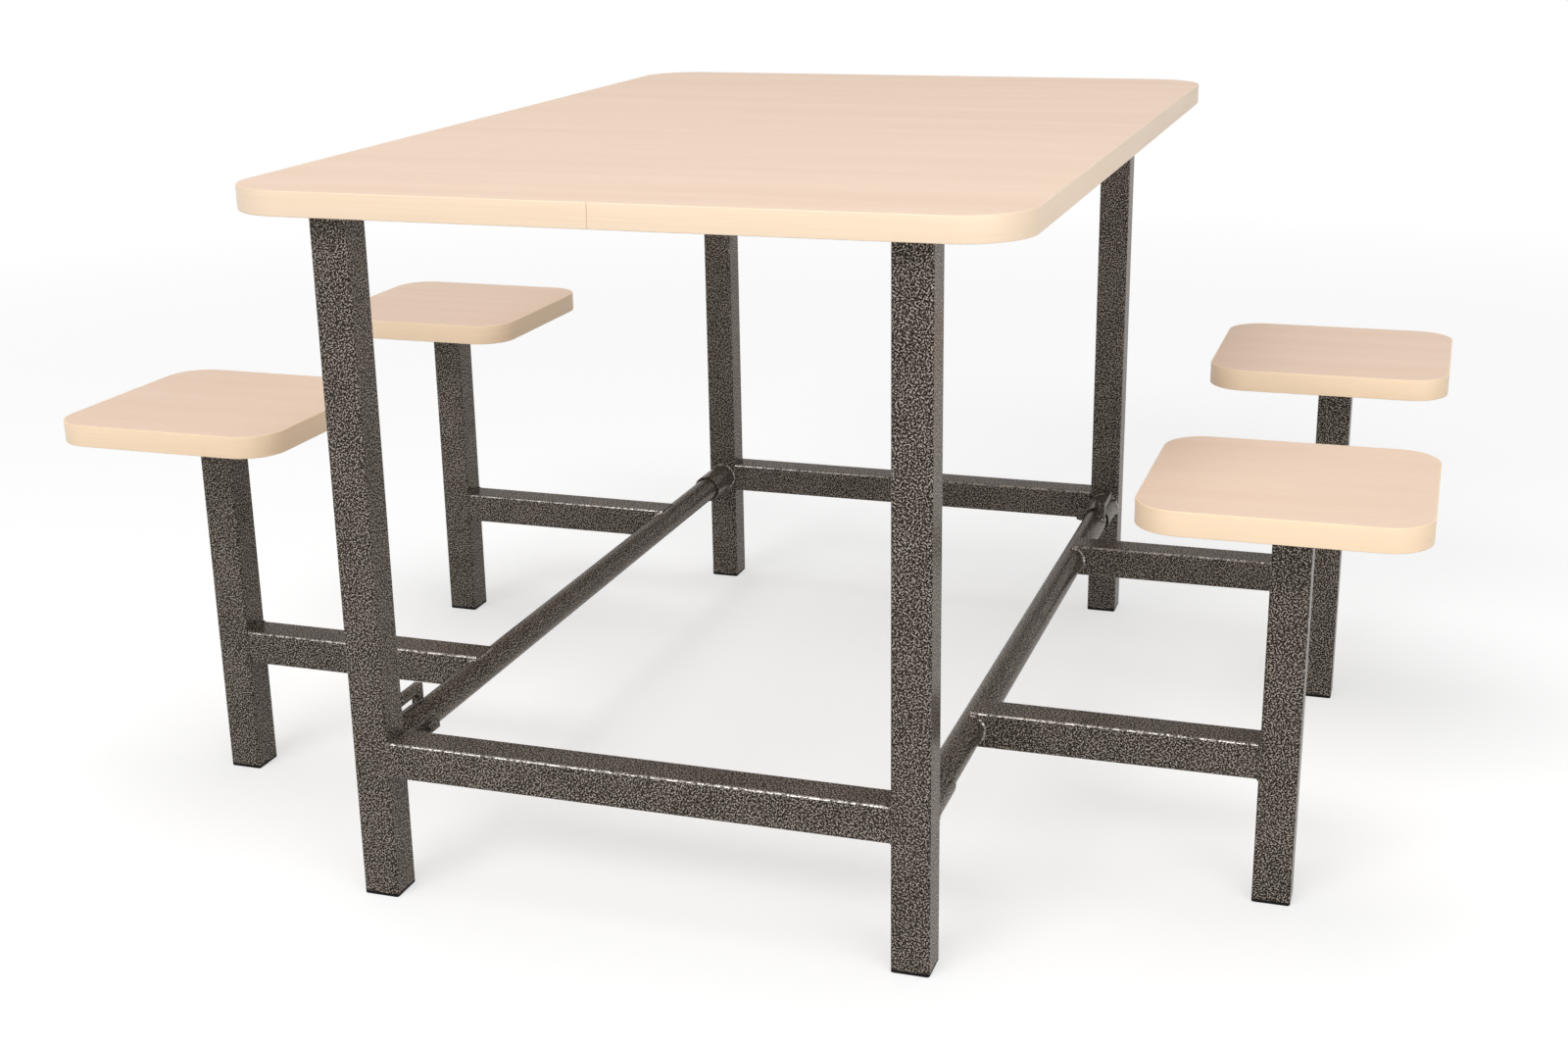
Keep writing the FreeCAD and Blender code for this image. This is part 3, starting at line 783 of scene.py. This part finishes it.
def screws(node, body, plates):
    """All the screws of a node, four to a plate, halfway between the plate's edge and its tube."""
    shell = bmesh.new()
    for plate, tube in plates:
        middle, size = middle_of(plate)
        _, tube_size = middle_of(tube)
        offset = (size.x + tube_size.x) / 4
        for sign_x in (-1, 1):
            for sign_y in (-1, 1):
                spot = middle + Vector((sign_x * offset, sign_y * offset, -size.z / 2))
                single = skin(screw_rings(spot))
                mesh = bpy.data.meshes.new("single_screw")
                single.to_mesh(mesh)
                single.free()
                shell.from_mesh(mesh)
                bpy.data.meshes.remove(mesh)
    add_piece(f"{node}_turned", shell, body, "screw_steel", [node], SCREW_SHARP_ANGLE)


# Stop fingers and stop blocks

def stop_finger(side, end):
    """A bent square bar: a foot on the pivot bar, and a finger back over the sleeve."""
    node = f"{side}_stop_finger"
    body = f"{side}_seats"
    low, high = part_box(node)
    foot_y, tip_y = (high.y, low.y) if end == "front" else (low.y, high.y)
    inner_y = foot_y + math.copysign(FINGER_SIDE, tip_y - foot_y)
    under = high.z - FINGER_SIDE
    profile = [(foot_y, low.z), (inner_y, low.z), (inner_y, under),
               (tip_y, under), (tip_y, high.z), (foot_y, high.z)]
    shell = skin([[Vector((x, y, z)) for y, z in profile] for x in (low.x, high.x)])
    round_edges(shell, FINGER_ROUNDING, FINGER_ROUNDING_STEPS)
    add_piece(f"{node}_bar", shell, body, "hammertone_paint", [node])
    bar, bar_size = middle_of(f"{side}_pivot_bar")
    foot = Vector(((low.x + high.x) / 2 - bar.x, (foot_y + inner_y) / 2, 0))
    path = foot_path(foot, FINGER_SIDE, FINGER_SIDE, bar_size.x / 2, low.z - bar.z)
    weld_bead(f"{node}_weld", body, moved(path, Vector((bar.x, 0, bar.z))), FINGER_WELD_RADIUS)


def stop_block(side, end):
    """A block that leans inwards on a sleeve, with its edges rounded, and a bead round its foot."""
    node = f"{end}_{side}_stop_block"
    sleeve, sleeve_size = middle_of(f"{end}_{side}_pivot_sleeve")
    tilt = -SIDES[side] * STOP_SLANT
    upright = Matrix.Rotation(-tilt, 3, "Y")
    low, high = box_of([upright @ (vertex.co - sleeve) for vertex in frame["nodes"][node].data.vertices])
    foot = min(math.sqrt((sleeve_size.x / 2) ** 2 - max(abs(low.x), abs(high.x)) ** 2), low.z) - STOP_SINK
    corners = [(low.x, low.y), (high.x, low.y), (high.x, high.y), (low.x, high.y)]
    lean = upright.inverted()
    shell = skin([[sleeve + lean @ Vector((x, y, level)) for x, y in corners] for level in (foot, high.z)])
    round_edges(shell, STOP_ROUNDING, STOP_ROUNDING_STEPS)
    add_piece(f"{node}_bar", shell, "table", "hammertone_paint", [node])
    middle, size = (low + high) / 2, high - low
    path = foot_path(middle, size.x, size.y, sleeve_size.x / 2, 0, tilt)
    weld_bead(f"{node}_weld", "table", moved(path, sleeve), SLIM_WELD_RADIUS)


# The whole dressing

def dress():
    """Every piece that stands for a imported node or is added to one."""
    dress_cad_nodes()
    boards()
    frame_welds()
    seat_welds()
    for side in SIDES:
        for end in ENDS:
            pivot_sleeve(end, side)
            foot_cap(f"{end}_{side}_leg_cap", "table")
            foot_cap(f"{end}_{side}_post_cap", f"{side}_seats")
        plates = [(f"{end}_{side}_seat_plate", f"{end}_{side}_seat_post") for end in ENDS]
        screws(f"{side}_seat_screws", f"{side}_seats", plates)
    plates = [(f"{end}_{side}_leg_plate", f"{end}_{side}_leg") for side in SIDES for end in ENDS]
    screws("table_top_screws", "table", plates)
    for side, end in STOP_ENDS.items():
        stop_finger(side, end)
        stop_block(side, end)


# Stage, light and camera

def floor():
    """A pale floor that shows the shadow near the table and runs out to white."""
    material, tree, _ = new_material("pale_floor")
    tree.nodes.clear()
    seen = seen_ray(tree)
    matt = add_node(tree, "ShaderNodeBsdfDiffuse", {"Color": (*FLOOR_GREY, 1)}).outputs["BSDF"]
    glow = emission(tree, math_of(tree, "MULTIPLY", seen, FLOOR_GLOW))
    near = add_node(tree, "ShaderNodeAddShader", {0: matt, 1: glow}).outputs["Shader"]
    white = emission(tree, remap(tree, seen, (0.0, 1.0), (FAR_FLOOR_LIGHT, 1.0)))
    place = tree.nodes.new("ShaderNodeTexCoord").outputs["Object"]
    distance = add_node(tree, "ShaderNodeVectorMath", {0: place}, operation="LENGTH").outputs["Value"]
    inputs = {"Fac": remap(tree, distance, FLOOR_FADE), 1: near, 2: white}
    blend = add_node(tree, "ShaderNodeMixShader", inputs).outputs["Shader"]
    add_node(tree, "ShaderNodeOutputMaterial", {"Surface": blend})
    bpy.ops.mesh.primitive_plane_add(size=FLOOR_SIZE, location=(0, 0, -FLOOR_DROP))
    plane = bpy.context.object
    plane.name = "floor"
    plane.data.materials.append(material)


def world():
    """A studio that is white round about, where its walls meet the floor, and dimmer higher up."""
    surround = bpy.data.worlds.new("studio")
    surround.use_nodes = True
    tree = surround.node_tree
    height = axes_of(tree, tree.nodes.new("ShaderNodeTexCoord").outputs["Generated"])["Z"]
    strength = remap(tree, height, WALL_FADE, (1.0, HIGH_WALL_LIGHT))
    fill_inputs(tree, tree.nodes["Background"], {"Color": (1, 1, 1, 1), "Strength": strength})
    bpy.context.scene.world = surround


def soft_box(name, place, aim, width, height, level):
    """A wide lamp. level is the brightness that it alone gives a white card at its aim, facing it."""
    way = Vector(aim) - Vector(place)
    lamp = bpy.data.lights.new(name, "AREA")
    lamp.shape = "RECTANGLE"
    lamp.size = width
    lamp.size_y = height
    lamp.energy = level * math.pi ** 2 * way.length_squared
    holder = bpy.data.objects.new(name, lamp)
    holder.location = place
    holder.rotation_mode = "QUATERNION"
    holder.rotation_quaternion = way.to_track_quat("-Z", "Y")
    bpy.context.scene.collection.objects.link(holder)


def lights():
    """A wide key lamp from the camera's side, a soft one overhead and two weak ones from the right."""
    soft_box("key", place=(-1.6, -5.9, 4.9), aim=(0, -0.2, 0.5), width=4.4, height=1.6, level=0.44)
    soft_box("overhead", place=(-0.3, -0.1, 5.0), aim=(0, 0, 0.7), width=3.4, height=3.4, level=0.48)
    soft_box("right_fill", place=(3.6, -3.6, 1.5), aim=(0.2, 0, 0.5), width=5.0, height=2.6, level=0.22)
    soft_box("near_fill", place=(1.7, -1.9, 1.9), aim=(0.2, 0, 0.5), width=1.5, height=1.5, level=0.16)


def camera():
    """The photograph's camera."""
    flat = Vector((math.sin(CAMERA_YAW), math.cos(CAMERA_YAW), 0))
    ahead = flat * math.cos(CAMERA_PITCH) - UP * math.sin(CAMERA_PITCH)
    right = Vector((flat.y, -flat.x, 0))
    up = right.cross(ahead)
    tilted_right = right * math.cos(CAMERA_ROLL) + up * math.sin(CAMERA_ROLL)
    tilted_up = up * math.cos(CAMERA_ROLL) - right * math.sin(CAMERA_ROLL)
    lens = bpy.data.cameras.new("photo_camera")
    lens.sensor_width = SENSOR_WIDTH
    lens.lens = SENSOR_WIDTH * FOCAL_LENGTH_PX / PHOTO_WIDTH_PX
    holder = bpy.data.objects.new("photo_camera", lens)
    turn = Matrix((tilted_right, tilted_up, -ahead)).transposed()
    holder.matrix_world = Matrix.Translation(CAMERA_PLACE) @ turn.to_4x4()
    bpy.context.scene.collection.objects.link(holder)
    bpy.context.scene.camera = holder


dress()
floor()
world()
lights()
camera()
bpy.context.scene.view_settings.view_transform = "Standard"
